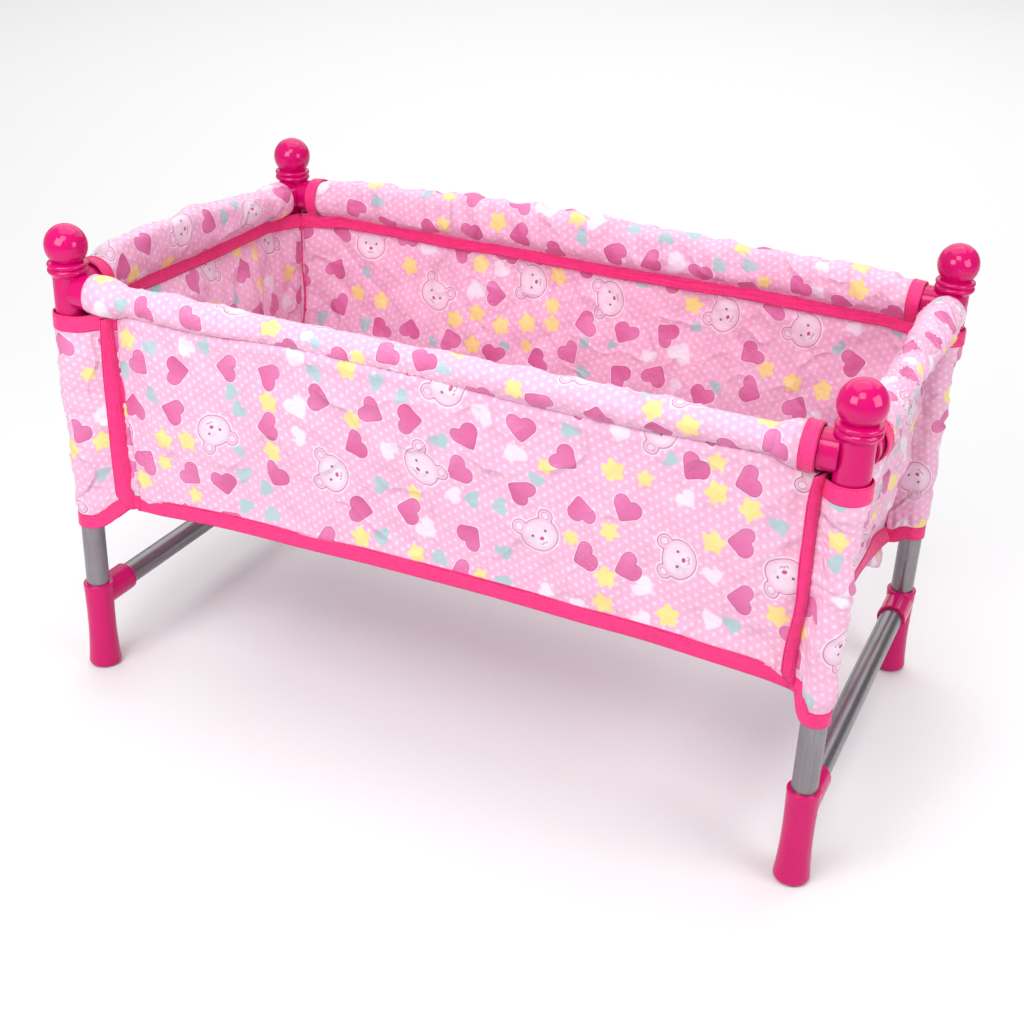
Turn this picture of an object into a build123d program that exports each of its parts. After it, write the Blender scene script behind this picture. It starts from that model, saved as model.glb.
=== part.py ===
from build123d import *
import os
from math import sqrt

# Doll's crib: a push-fit frame of round steel tubes and moulded connectors, with a sewn
# cloth body slipped over it. Millimetres. +X runs along the crib to its right end, +Y to
# its back, +Z up. The origin is on the ground under the middle of the crib.

# ---- driving dimensions ------------------------------------------------------------
post_pitch_x = 518.0        # between leg axes, along the crib
post_pitch_y = 271.0        # between leg axes, across the crib
rail_height = 285.5         # axis of the four top rails
tube_d = 16.0
tube_wall = 0.6
push_fit = 0.05             # radial clearance of a tube in its socket
end_play = 0.2              # gap between a rail's end and its socket floor

foot_height = 67.0
foot_rim_d = 21.0
foot_waist_d = 19.8
foot_flare_d = 23.0
foot_sole_d = 17.0          # flat part of the sole
foot_core_d = 12.8          # hollow under the leg seat
foot_core_floor = 3.0
leg_seat = 25.0             # shoulder in the foot that the leg tube stands on
branch_d = 20.4             # side socket of a foot, for the cross tube
branch_height = 56.5
socket_mouth = 30.0         # mouth of every side socket, from the post axis
socket_floor = 12.0         # blind end of every side socket, from the post axis

body_d = 21.0               # upright barrel of a corner connector
body_bottom = 250.0
body_top = 295.2
arm_d = 23.6                # side sockets of a corner connector
arm_start = 7.0
leg_top = 273.0             # top end of the leg tube inside the connector
collar_d = 26.6             # the beads between connector and ball
collar_height = 299.0
parting_height = 301.2      # plane where the finial sits on the connector
bead_height = 303.0
ball_d = 28.0
ball_height = 315.0
ball_wall = 1.6
spigot_d = 10.0             # finial plug in the top of the connector
spigot_hole_floor = 289.0

cloth = 1.0                 # cloth solids are thicker than real cloth
tape = 11.0                 # width of the folded binding tape
tape_thick = 1.4
panel_top = 275.0
panel_bottom = 143.5
hem_turn = 31.0             # from the post axis: here the hem starts to drop to the ring
hem_drop_end = 13.0         # from the post axis: here it is level with the ring
end_panel_inset = 6.0       # the end panels hang just inside the post plane
floor_edge = 138.0
floor_sag = 16.0
sleeve_d = 20.0             # cloth channel along a rail
sleeve_mouth_d = 26.0       # the same where it slips over a connector arm
sleeve_start = 19.0         # end of a rail's cloth, from the post axis
sleeve_neck = 47.0          # where the mouth has narrowed down, from the post axis
post_sleeve_d = 24.8
post_sleeve_bottom = 125.4
post_sleeve_top = 260.0
ring_d = 19.2               # tape ring at the foot of each post sleeve
ring_bottom = 114.0

# How far from the post axis each post sleeve is sewn to its long panel. The cloth is
# pulled out flat at one corner and sits close round the post at the others.
seam_reach = {"front_left": 30.0, "front_right": 13.5, "back_left": 14.0, "back_right": 18.0}
end_seam_reach = 14.0
seam_fold_r = 1.3           # the sleeve's cloth turns round this at a seam

# Ends of the rail sleeves that finish in a band of tape: -1 is the left or front end.
banded_ends = {"front": (1,), "back": (-1, 1), "left": (-1,), "right": (-1,)}

# ---- worked out --------------------------------------------------------------------
post_x = post_pitch_x / 2
post_y = post_pitch_y / 2
tube_r = tube_d / 2
bore_r = tube_r + push_fit
end_panel_x = post_x - end_panel_inset
ring_top = ring_bottom + tape
band_r = sleeve_mouth_d / 2 + 0.4
under_mouth = rail_height - band_r - 0.3
corners = {
    "front_left": (-1, -1),
    "front_right": (1, -1),
    "back_left": (-1, 1),
    "back_right": (1, 1),
}
up = Vector(0, 0, 1)

os.makedirs("parts", exist_ok=True)


def save(part, name):
    part.label = name
    export_step(part, f"parts/{name}.step")


def post_foot(sx, sy):
    """Point on the ground under one post."""
    return Vector(sx * post_x, sy * post_y, 0)


def upright_plane(sx, sy):
    """Plane through a post: its x runs along the crib and its y is height."""
    return Plane(origin=post_foot(sx, sy), x_dir=(1, 0, 0), z_dir=(0, -1, 0))


# ---- tubes -------------------------------------------------------------------------
def tube(start, direction, length):
    """Open-ended steel tube."""
    with BuildPart() as piece:
        with BuildSketch(Plane(origin=start, z_dir=direction)):
            Circle(tube_r)
            Circle(tube_r - tube_wall, mode=Mode.SUBTRACT)
        extrude(amount=length)
    return piece.part


# ---- mouldings ---------------------------------------------------------------------
def foot(sx, sy):
    """Moulded foot: a cup for the leg tube, with a side socket for the cross tube."""
    post = post_foot(sx, sy)
    branch = Plane(origin=post + up * branch_height, z_dir=(0, -sy, 0))
    rim_r = foot_rim_d / 2
    flare_r = foot_flare_d / 2
    sole_r = foot_sole_d / 2
    with BuildPart() as piece:
        with BuildSketch(upright_plane(sx, sy)):
            with BuildLine():
                Line((0, 0), (sole_r, 0))
                ThreePointArc((sole_r, 0), (flare_r - 0.8, 1.1), (flare_r, 3.6))
                Spline((flare_r, 3.6), (foot_waist_d / 2 + 0.5, 17), (foot_waist_d / 2, 30), (rim_r, 66))
                ThreePointArc((rim_r, 66), (rim_r - 0.3, 66.7), (rim_r - 1, foot_height))
                Line((rim_r - 1, foot_height), (0, foot_height))
                Line((0, foot_height), (0, 0))
            make_face()
        revolve(axis=Axis(post, up))
        with BuildSketch(branch):
            Circle(branch_d / 2)
        extrude(amount=socket_mouth)
        mouth_edge = piece.edges().filter_by(GeomType.CIRCLE).sort_by(Axis.Y)[-1 if sy < 0 else 0]
        fillet(mouth_edge, radius=0.8)
        with BuildSketch(Plane(origin=post + up * leg_seat)):
            Circle(bore_r)
        extrude(amount=foot_height - leg_seat, mode=Mode.SUBTRACT)
        with BuildSketch(Plane(origin=post + up * foot_core_floor)):
            Circle(foot_core_d / 2)
        extrude(amount=leg_seat - foot_core_floor, mode=Mode.SUBTRACT)
        with BuildSketch(branch.offset(socket_floor)):
            Circle(bore_r)
        extrude(amount=socket_mouth - socket_floor, mode=Mode.SUBTRACT)
    return piece.part


def corner_connector(sx, sy):
    """Three-way moulding: leg socket below, an arm for each rail and a beaded collar on top."""
    post = post_foot(sx, sy)
    rail_level = post + up * rail_height
    arms = [Plane(origin=rail_level, z_dir=(-sx, 0, 0)), Plane(origin=rail_level, z_dir=(0, -sy, 0))]
    body_r = body_d / 2
    bead_r = collar_d / 2
    rest_r = bead_r - 1.3
    with BuildPart() as piece:
        for arm in arms:
            with BuildSketch(arm.offset(arm_start)):
                Circle(arm_d / 2)
            extrude(amount=socket_mouth - arm_start)
            circles = piece.edges().filter_by(GeomType.CIRCLE)
            fillet(circles.filter_by(lambda edge: abs(edge.radius - arm_d / 2) < 0.01), radius=0.9)
        with BuildSketch(upright_plane(sx, sy)):
            with BuildLine():
                Polyline((0, parting_height), (0, body_bottom), (body_r - 0.6, body_bottom))
                Polyline((body_r - 0.6, body_bottom), (body_r, body_bottom + 0.6), (body_r, body_top))
                Line((body_r, body_top), (bead_r - 0.5, collar_height - 1.3))
                ThreePointArc(
                    (bead_r - 0.5, collar_height - 1.3),
                    (bead_r, collar_height),
                    (bead_r - 0.5, collar_height + 1.3),
                )
                Polyline((bead_r - 0.5, collar_height + 1.3), (rest_r, parting_height), (0, parting_height))
            make_face()
        revolve(axis=Axis(post, up))
        with BuildSketch(Plane(origin=post + up * body_bottom)):
            Circle(bore_r)
        extrude(amount=leg_top - body_bottom, mode=Mode.SUBTRACT)
        for arm in arms:
            with BuildSketch(arm.offset(socket_floor)):
                Circle(bore_r)
            extrude(amount=socket_mouth - socket_floor, mode=Mode.SUBTRACT)
        with BuildSketch(Plane(origin=post + up * spigot_hole_floor)):
            Circle(spigot_d / 2 + push_fit)
        extrude(amount=parting_height - spigot_hole_floor, mode=Mode.SUBTRACT)
    return piece.part


def ball_finial(sx, sy):
    """Hollow ball cap with one bead, and a spigot that plugs into the connector."""
    post = post_foot(sx, sy)
    ball_r = ball_d / 2
    bead_r = collar_d / 2
    rest_r = bead_r - 1.3
    spigot_r = spigot_d / 2
    spigot_end = spigot_hole_floor + end_play
    shoulder = bead_height + 2.2
    shoulder_r = sqrt(ball_r**2 - (ball_height - shoulder) ** 2)
    crown = ball_height + ball_r
    with BuildPart() as piece:
        with BuildSketch(upright_plane(sx, sy)):
            with BuildLine():
                Polyline((0, crown), (0, spigot_end), (spigot_r, spigot_end), (spigot_r, parting_height))
                Line((spigot_r, parting_height), (rest_r, parting_height))
                ThreePointArc(
                    (rest_r, parting_height),
                    (bead_r, bead_height),
                    (bead_r - 1.0, bead_height + 1.4),
                )
                Line((bead_r - 1.0, bead_height + 1.4), (shoulder_r, shoulder))
                ThreePointArc((shoulder_r, shoulder), (ball_r, ball_height), (0, crown))
            make_face()
        revolve(axis=Axis(post, up))
        with Locations(post + up * ball_height):
            Sphere(ball_r - ball_wall, mode=Mode.SUBTRACT)
    return piece.part


# ---- sewn cloth --------------------------------------------------------------------
def post_sleeve(corner):
    """Cloth sleeve round a post, drawn out to the seams where it joins its two panels."""
    sx, sy = corners[corner]
    to_seam = seam_fold_r + 0.4
    side_seam = (sx * (post_x - seam_reach[corner] + to_seam), sy * post_y)
    end_seam = (sx * end_panel_x, sy * (post_y - end_seam_reach + to_seam))
    shoulder = panel_bottom + 0.5
    with BuildPart() as piece:
        with BuildSketch(Plane.XY.offset(post_sleeve_bottom)):
            with Locations((sx * post_x, sy * post_y)):
                Circle(post_sleeve_d / 2)
        extrude(amount=shoulder - post_sleeve_bottom)
        with BuildSketch(Plane.XY.offset(shoulder)):
            with Locations((sx * post_x, sy * post_y)):
                Circle(post_sleeve_d / 2)
            with Locations(side_seam, end_seam):
                Circle(seam_fold_r)
            make_hull()
        extrude(amount=post_sleeve_top - shoulder)
        with BuildSketch(Plane.XY.offset(post_sleeve_bottom)):
            with Locations((sx * post_x, sy * post_y)):
                Circle(post_sleeve_d / 2 - cloth)
        extrude(amount=post_sleeve_top - post_sleeve_bottom, mode=Mode.SUBTRACT)
        with BuildSketch(Plane.XY.offset(shoulder + cloth)):
            with Locations((sx * post_x, sy * post_y)):
                Circle(post_sleeve_d / 2 - cloth)
            with Locations(side_seam, end_seam):
                Circle(seam_fold_r - cloth)
            make_hull()
        extrude(amount=post_sleeve_top - shoulder - cloth, mode=Mode.SUBTRACT)
    return piece.part


def tape_ring(sx, sy, outer_r, inner_r, bottom):
    """Band of tape round a post."""
    with BuildPart() as piece:
        with BuildSketch(Plane(origin=post_foot(sx, sy) + up * bottom)):
            Circle(outer_r)
            Circle(inner_r, mode=Mode.SUBTRACT)
        extrude(amount=tape)
    return piece.part


def hang_plane(side):
    """Plane of a panel, seen from outside: x runs along the panel and y is height."""
    if side in ("front", "back"):
        sy = -1 if side == "front" else 1
        return Plane(origin=(0, sy * post_y, 0), x_dir=(1, 0, 0), z_dir=(0, -1, 0))
    sx = -1 if side == "left" else 1
    return Plane(origin=(sx * end_panel_x, 0, 0), x_dir=(0, 1, 0), z_dir=(1, 0, 0))


def panel_ends(side):
    """Half length to the post axes, and how far short of them the seams are at -x and +x."""
    if side in ("front", "back"):
        return post_x, seam_reach[side + "_left"], seam_reach[side + "_right"]
    return post_y, end_seam_reach, end_seam_reach


def hem_height(reach):
    """Height of the panel's lower edge at a distance from the post axis."""
    drop = (hem_turn - max(reach, hem_drop_end)) / (hem_turn - hem_drop_end)
    return panel_bottom - max(drop, 0) * (panel_bottom - ring_top - 0.3)


def panel(side):
    """Printed panel between two posts, from its bound hem up to the rail sleeve."""
    half, seam_a, seam_b = panel_ends(side)
    with BuildPart() as piece:
        with BuildSketch(hang_plane(side)):
            with BuildLine():
                Polyline(
                    (-half + seam_a, hem_height(seam_a)),
                    (-half + hem_turn, panel_bottom),
                    (half - hem_turn, panel_bottom),
                    (half - seam_b, hem_height(seam_b)),
                    (half - seam_b, under_mouth),
                    (half - sleeve_neck + 6, under_mouth),
                    (half - sleeve_neck - 3, panel_top),
                    (-half + sleeve_neck + 3, panel_top),
                    (-half + sleeve_neck - 6, under_mouth),
                    (-half + seam_a, under_mouth),
                    close=True,
                )
            make_face()
        extrude(amount=cloth / 2, both=True)
    return piece.part


def hem_binding(side):
    """Tape folded over a panel's lower edge, dropping to the ring on the post at each end."""
    half = panel_ends(side)[0]
    start = ring_d / 2 + 0.2
    drop = [(start, ring_top), (hem_drop_end, ring_top + 0.3), (hem_turn, panel_bottom)]
    lower = [(start, ring_bottom), (hem_drop_end + 4, ring_bottom + 1), (hem_turn + 4, panel_bottom - tape)]
    upper_edge = [(-half + reach, z) for reach, z in drop] + [(half - reach, z) for reach, z in drop[::-1]]
    lower_edge = [(half - reach, z) for reach, z in lower] + [(-half + reach, z) for reach, z in lower[::-1]]
    with BuildPart() as piece:
        with BuildSketch(hang_plane(side)):
            with BuildLine():
                Polyline(*upper_edge, *lower_edge, close=True)
            make_face()
        extrude(amount=cloth / 2 + tape_thick / 2, both=True)
    return piece.part


def channel_binding(side):
    """Tape over the stitched inner hem of the rail channel, on a panel's inside face."""
    half = panel_ends(side)[0]
    plane = hang_plane(side)
    inward = 1 if side in ("back", "left") else -1
    with BuildPart() as piece:
        with BuildSketch(plane.offset(inward * cloth / 2)):
            with Locations((0, under_mouth - tape / 2)):
                Rectangle(2 * (half - 16), tape)
        extrude(amount=inward * tape_thick)
    return piece.part


def seam_binding(corner):
    """Bound seam allowance that stands out from a long panel beside its post sleeve."""
    sx, sy = corners[corner]
    reach = seam_reach[corner] + tape_thick / 2
    bottom = panel_bottom + 0.5
    with BuildPart() as piece:
        with BuildSketch(Plane.XY.offset(bottom)):
            with Locations((sx * (post_x - reach), sy * (post_y + cloth / 2 + tape / 2))):
                Rectangle(tape_thick, tape)
        extrude(amount=panel_top - 5 - bottom)
    return piece.part


def rail_sleeve(side, start, direction, pitch):
    """Cloth channel round a rail, wider at both ends where it slips over the arms."""
    slim_r = sleeve_d / 2
    mouth_r = sleeve_mouth_d / 2
    low = sleeve_start + (tape if -1 in banded_ends[side] else 0)
    high = pitch - sleeve_start - (tape if 1 in banded_ends[side] else 0)
    mouth = socket_mouth + 3
    outline = [
        (low, mouth_r),
        (mouth, mouth_r),
        (sleeve_neck, slim_r),
        (pitch - sleeve_neck, slim_r),
        (pitch - mouth, mouth_r),
        (high, mouth_r),
    ]
    lining = [(x, r - cloth) for x, r in outline[::-1]]
    with BuildPart() as piece:
        with BuildSketch(Plane(origin=start, x_dir=direction, z_dir=Vector(direction).cross(up))):
            with BuildLine():
                Polyline(*outline, *lining, close=True)
            make_face()
        revolve(axis=Axis(start, direction))
    return piece.part


def rail_end_bands(side, start, direction, pitch):
    """Tape round the banded ends of a rail sleeve."""
    with BuildPart() as piece:
        for end in banded_ends[side]:
            from_start = sleeve_start if end < 0 else pitch - sleeve_start - tape
            with BuildSketch(Plane(origin=start + Vector(direction) * from_start, z_dir=direction)):
                Circle(band_r)
                Circle(sleeve_mouth_d / 2 - cloth, mode=Mode.SUBTRACT)
            extrude(amount=tape)
    return piece.part


def floor_panel():
    """Printed floor, sewn into the hems all round and hanging in a shallow sag."""
    length = 2 * (end_panel_x - cloth / 2 - tape_thick / 2 - 0.3)
    width = 2 * (post_y - cloth / 2 - tape_thick / 2 - 0.3)
    corner_cut = 20.0
    inset = 62.0
    with BuildPart() as piece:
        for lift, mode in ((0, Mode.ADD), (cloth, Mode.SUBTRACT)):
            with BuildSketch(Plane.XY.offset(floor_edge - floor_sag + lift)) as low_face:
                Rectangle(length - 2 * inset, width - 2 * inset)
                chamfer(low_face.vertices(), length=corner_cut / 2)
            with BuildSketch(Plane.XY.offset(floor_edge + lift)) as high_face:
                Rectangle(length, width)
                chamfer(high_face.vertices(), length=corner_cut)
            loft(mode=mode)
    return piece.part


# ---- build and write ---------------------------------------------------------------
for corner, (sx, sy) in corners.items():
    leg_bottom = leg_seat + push_fit
    save(tube(post_foot(sx, sy) + up * leg_bottom, (0, 0, 1), leg_top - leg_bottom), f"leg_tube_{corner}")
    save(foot(sx, sy), f"foot_{corner}")
    save(corner_connector(sx, sy), f"corner_connector_{corner}")
    save(ball_finial(sx, sy), f"ball_finial_{corner}")
    save(post_sleeve(corner), f"post_sleeve_{corner}")
    top_band_r = post_sleeve_d / 2 + 0.4
    save(tape_ring(sx, sy, top_band_r, top_band_r - tape_thick, post_sleeve_top), f"post_top_band_{corner}")
    save(tape_ring(sx, sy, ring_d / 2, ring_d / 2 - tape_thick + 0.2, ring_bottom), f"leg_ring_{corner}")
    save(seam_binding(corner), f"seam_binding_{corner}")

for side, sy in (("front", -1), ("back", 1)):
    start = Vector(-post_x, sy * post_y, rail_height)
    gap = socket_floor + end_play
    save(tube(start + Vector(gap, 0, 0), (1, 0, 0), post_pitch_x - 2 * gap), f"top_rail_{side}")
    save(rail_sleeve(side, start, (1, 0, 0), post_pitch_x), f"rail_sleeve_{side}")
    save(rail_end_bands(side, start, (1, 0, 0), post_pitch_x), f"rail_end_band_{side}")

for side, sx in (("left", -1), ("right", 1)):
    start = Vector(sx * post_x, -post_y, rail_height)
    gap = socket_floor + end_play
    save(tube(start + Vector(0, gap, 0), (0, 1, 0), post_pitch_y - 2 * gap), f"top_rail_{side}")
    save(rail_sleeve(side, start, (0, 1, 0), post_pitch_y), f"rail_sleeve_{side}")
    save(rail_end_bands(side, start, (0, 1, 0), post_pitch_y), f"rail_end_band_{side}")
    cross_start = Vector(sx * post_x, -post_y + gap, branch_height)
    save(tube(cross_start, (0, 1, 0), post_pitch_y - 2 * gap), f"cross_tube_{side}")

for side in ("front", "back", "left", "right"):
    save(panel(side), f"panel_{side}")
    save(hem_binding(side), f"hem_binding_{side}")
    save(channel_binding(side), f"channel_binding_{side}")

save(floor_panel(), "floor_panel")
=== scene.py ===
from functools import partialmethod
from math import cos, pi, radians, sin

import bpy
import numpy as np
from mathutils import Matrix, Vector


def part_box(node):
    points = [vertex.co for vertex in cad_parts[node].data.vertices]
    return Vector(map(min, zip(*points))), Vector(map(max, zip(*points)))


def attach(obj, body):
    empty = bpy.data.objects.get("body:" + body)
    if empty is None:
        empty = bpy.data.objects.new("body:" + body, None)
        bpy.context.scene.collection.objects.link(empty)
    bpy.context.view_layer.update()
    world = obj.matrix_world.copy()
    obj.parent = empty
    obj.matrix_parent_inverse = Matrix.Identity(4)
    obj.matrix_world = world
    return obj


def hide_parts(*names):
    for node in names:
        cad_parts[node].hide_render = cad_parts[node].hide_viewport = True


# Doll's crib: its sewn cloth body, the finishes of every piece, the studio and the camera,
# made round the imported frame. Lengths are millimetres until a mesh is written in metres.

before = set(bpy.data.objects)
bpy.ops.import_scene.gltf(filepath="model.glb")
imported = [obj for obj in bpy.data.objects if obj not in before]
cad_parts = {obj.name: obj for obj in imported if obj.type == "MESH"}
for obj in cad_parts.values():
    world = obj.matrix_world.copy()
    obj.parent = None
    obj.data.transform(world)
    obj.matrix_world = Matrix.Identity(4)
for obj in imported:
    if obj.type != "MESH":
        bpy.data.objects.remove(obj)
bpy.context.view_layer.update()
MM = 0.001
scene = bpy.context.scene

# ---- sizes taken from the frame ------------------------------------------------------


def span(node):
    """Lowest and highest corner of a CAD node."""
    low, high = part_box(node)
    return np.array(low) / MM, np.array(high) / MM


def middle(node):
    low, high = span(node)
    return (low + high) / 2


def size(node):
    low, high = span(node)
    return high - low


POST_X = middle("leg_tube_front_right")[0]
POST_Y = middle("leg_tube_back_right")[1]
TUBE_R = size("leg_tube_front_right")[0] / 2
RAIL_Z = middle("top_rail_front")[2]
TAPE = size("channel_binding_front")[2]
HEM_TOP = span("hem_binding_front")[1][2]
RING_LOW = span("leg_ring_front_left")[0][2]
RING_TOP = span("leg_ring_front_left")[1][2]
BAND_LOW = span("post_top_band_front_left")[0][2]
BAND_TOP = span("post_top_band_front_left")[1][2]
CAD_TAPE = 1.4              # thickness of the tape round the CAD's posts
BARREL_R = size("post_top_band_front_left")[0] / 2 - CAD_TAPE
SLEEVE_START = span("rail_end_band_left")[0][1] + POST_Y
MOUTH_R = size("rail_end_band_front")[2] / 2 - 0.6
FLOOR_EDGE = span("floor_panel")[1][2]
FLOOR_LOW = span("floor_panel")[0][2]
ARM_END = 30.0              # mouth of a connector's arm, from the post axis
ARM_CLEAR = 12.1            # radius at which cloth lies clear of a connector's arm

CLOTH = 0.45                # thickness of the printed cloth
SNUG_R = 10.2               # a rail sleeve where it lies close on its tube
FLANGE = 11.0               # how far a bound seam stands out
RING_Z = (RING_LOW + RING_TOP) / 2

CORNERS = {
    "front_left": (-1, -1),
    "front_right": (1, -1),
    "back_left": (-1, 1),
    "back_right": (1, 1),
}


def seam_reach(corner):
    """How far along its long side a corner's bound seam is from the post axis."""
    return POST_X - abs(middle(f"seam_binding_{corner}")[0]) - 0.7


# Where both panels and the post sleeve are sewn together at each corner: how far it is from the
# post axis along the long side, and how far in from that side.
SEAM_IN = {
    "front_left": (seam_reach("front_left") + 10.5, 0.5),
    "front_right": (seam_reach("front_right"), -0.5),
    "back_left": (seam_reach("back_left") - 2.0, 8.5),
    "back_right": (seam_reach("back_right") - 2.0, 6.0),
}
# Heights of the bound lower edge at each corner's seam and round its leg, the radius of its post
# sleeve, how far up the sleeve takes to reach that, and how far the cloth hangs off the post.
SEAM_HEM = {"front_left": 139.0, "front_right": 137.5, "back_left": 134.0, "back_right": 111.0}
LEG_HEM = {
    "front_left": RING_Z,
    "front_right": RING_Z + 1.0,
    "back_left": RING_Z,
    "back_right": RING_Z - 3.0,
}
SLEEVE_R = {"front_left": 12.4, "front_right": 9.4, "back_left": 11.0, "back_right": 9.9}
SLEEVE_OPENS = {"front_left": 105.0, "front_right": 20.0, "back_left": 30.0, "back_right": 26.0}
SLEEVE_SLACK = {"front_left": 1.2, "front_right": 0.0, "back_left": 0.8, "back_right": 0.0}
BAND = 1.1                  # thickness of the tape round the posts, folded over the cloth

# Each side of the crib, counter-clockwise from above: its middle, the way along it, the way
# out of it, half its length, and the corners at its start and end.
SIDES = {
    "front": ((0, -POST_Y), (1, 0), (0, -1), POST_X, "front_left", "front_right"),
    "right": ((POST_X, 0), (0, 1), (1, 0), POST_Y, "front_right", "back_right"),
    "back": ((0, POST_Y), (-1, 0), (0, 1), POST_X, "back_right", "back_left"),
    "left": ((-POST_X, 0), (0, -1), (-1, 0), POST_Y, "back_left", "front_left"),
}
FRONT_LEFT_DRIFT = 7.5      # how much nearer its post the front left seam is at its top
PANEL_TOP = 271.0           # height of a panel's upper seam, as the cloth is cut
LOOP_POINTS = 96            # points of a loop round a post

# How the cloth of each side lies: how far the middle of its hem rises and is pulled in, how much
# wider than snug its rail sleeve is, the width round that sleeve which its folds are laid out on,
# and how strong its panel's folds are.
HEM_BOW = {"front": (4.5, 5.5), "back": (4.5, 5.5), "left": (3.5, 7.0), "right": (0.0, 0.5)}
SLEEVE_LOOSE = {"front": -0.9, "back": 1.0, "left": 1.0, "right": 0.6}
SLEEVE_GIRTH = {"front": 60.0, "back": 78.0, "left": 76.0, "right": 80.0}
FOLD_DEPTH = {"front": 1.15, "back": 1.3, "left": 2.0, "right": 2.4}
# How far in each channel binding lies, and how it slopes.
CHANNEL_LIE = {"front": (2.2, 0.0), "back": (2.2, 0.0), "left": (4.1, 0.17), "right": (3.8, 0.11)}
# How each bound seam leans along its side at its lower and upper ends, in degrees.
SEAM_LEAN = {
    "front_left": (42, 2),
    "front_right": (-32, -6),
    "back_left": (30, 20),
    "back_right": (20, 12),
}
# Which ends of each rail sleeve have a tape band: 1 is the far end of its side, -1 the start.
END_BANDS = {"front": (1,), "back": (1, -1), "left": (1,), "right": (-1,)}
# Where each side's cloth is cut from the roll, so that no two sides have the same print, and how
# much further on its rail sleeve is. Then the floor, and the step from one post sleeve to the next.
PATTERN_SHIFT = {"front": (11, 40), "back": (420, 233), "left": (97, 811), "right": (613, 547)}
SLEEVE_SHIFT = (57, 340)
FLOOR_SHIFT = (900, 1300)
POST_SHIFT = (91, 37)

# Seeds of the random folds.
SIDE_SEED = {"front": 5, "right": 5, "back": 4, "left": 4}
SLEEVE_SEED = {"front": 31, "back": 32, "left": 33, "right": 36}
PANEL_SEED = {"front": 51, "back": 52, "left": 53, "right": 54}
CORNER_SEED = {"front_left": 1, "front_right": 2, "back_left": 3, "back_right": 4}


def place(side, along, out, height):
    """Points from a distance along a side, out from its post line, and a height."""
    (mx, my), (tx, ty), (nx, ny) = SIDES[side][:3]
    along, out, height = np.broadcast_arrays(
        np.asarray(along, float), np.asarray(out, float), np.asarray(height, float)
    )
    return np.stack([mx + along * tx + out * nx, my + along * ty + out * ny, height], axis=-1)


def direction(side, along, out, up):
    """A direction from its share along, out of and up a side."""
    _, (tx, ty), (nx, ny) = SIDES[side][:3]
    return np.array([along * tx + out * nx, along * ty + out * ny, up])


def is_end(side):
    return side in ("left", "right")


def post_axis(corner):
    """Plan position of a corner's post."""
    return np.array(CORNERS[corner]) * (POST_X, POST_Y)


def seam_plan(corner, height):
    """How far from its post axis a corner's seam is at a height, along its long side and in."""
    reach, inward = SEAM_IN[corner]
    low = SEAM_HEM[corner]
    drift = FRONT_LEFT_DRIFT if corner == "front_left" else 0.0
    return reach - drift * np.clip((height - low) / (BAND_LOW - low), 0, 1), inward


def corner_seam(corner, height=0.0):
    """Plan position of a corner's seam at a height."""
    sx, sy = CORNERS[corner]
    reach_x, reach_y = seam_plan(corner, height)
    return np.array(np.broadcast_arrays(sx * (POST_X - reach_x), sy * (POST_Y - reach_y)))


def seam_path(corner, height):
    """Points up a corner's seam, at the heights given."""
    return np.stack([*np.broadcast_arrays(*corner_seam(corner, height), height)], axis=1)


def seams(side, height=0.0):
    """The seams at the start and end of a side: how far along it and how far out of it each is."""
    half, start, end = SIDES[side][3:]
    found = []
    for corner, sign in ((start, -1), (end, 1)):
        along, inward = seam_plan(corner, height)
        if is_end(side):
            along, inward = inward, along
        found.append((sign * (half - along), -inward))
    return found


# ---- shapes of cloth in numbers ------------------------------------------------------


def smooth(t):
    """0 below 0 and 1 above 1, with a soft step between."""
    t = np.clip(t, 0, 1)
    return t * t * (3 - 2 * t)


def bell(x, centre, width):
    """A soft bump, 1 at its centre and gone about two widths from it."""
    return np.exp(-(((x - centre) / width) ** 2))


def waves(u, v, pitch, seed, heading=None, spread=0.35):
    """Smooth random waves about pitch long, from -1 to 1 or so. heading is the way they run."""
    rng = np.random.default_rng(seed)
    count, total = 9, 0
    for _ in range(count):
        turn = rng.uniform(0, pi) if heading is None else heading + rng.normal(0, spread)
        length = pitch * rng.uniform(0.7, 1.6)
        run = u * cos(turn) + v * sin(turn)
        total = total + np.sin(2 * pi * run / length + rng.uniform(0, 2 * pi))
    return total / count**0.5


def folds(u, v, pitch, seed, heading=None, spread=0.35):
    """Waves with sharp crests, as thin cloth makes where it is gathered or pushed together."""
    return 1 - 2 * np.abs(waves(u, v, pitch, seed, heading, spread)) ** 0.75


def crease(distance, width):
    """One sharp fold: a steep side and a gentle one."""
    steep = bell(np.minimum(distance, 0), 0, 0.45 * width)
    gentle = bell(np.maximum(distance, 0), 0, 1.8 * width)
    return np.where(distance < 0, steep, gentle)


# ---- lines of points -----------------------------------------------------------------


def unit(vectors):
    """Vectors of length 1."""
    return vectors / np.linalg.norm(vectors, axis=-1, keepdims=True)


def looped(points):
    """A closed line's points, with its first again at the end."""
    return np.concatenate([points, points[:1]])


def along_path(path, closed=False):
    """Unit tangents of a path."""
    if closed:
        return unit(np.roll(path, -1, axis=0) - np.roll(path, 1, axis=0))
    return unit(np.gradient(path, axis=0))


def upward(outward, way):
    """Unit directions square to both others, on the side that faces up."""
    up = unit(np.cross(outward, way))
    return up * np.sign(up[:, 2:])


def lengths_along(points):
    """How far along a line each of its points is."""
    return np.concatenate([[0], np.cumsum(np.linalg.norm(np.diff(points, axis=0), axis=1))])


def point_at(at, lengths, points):
    """The place on a line at a distance along it, or several."""
    return np.stack([np.interp(at, lengths, column) for column in points.T], axis=-1)


# ---- meshes --------------------------------------------------------------------------


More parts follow.
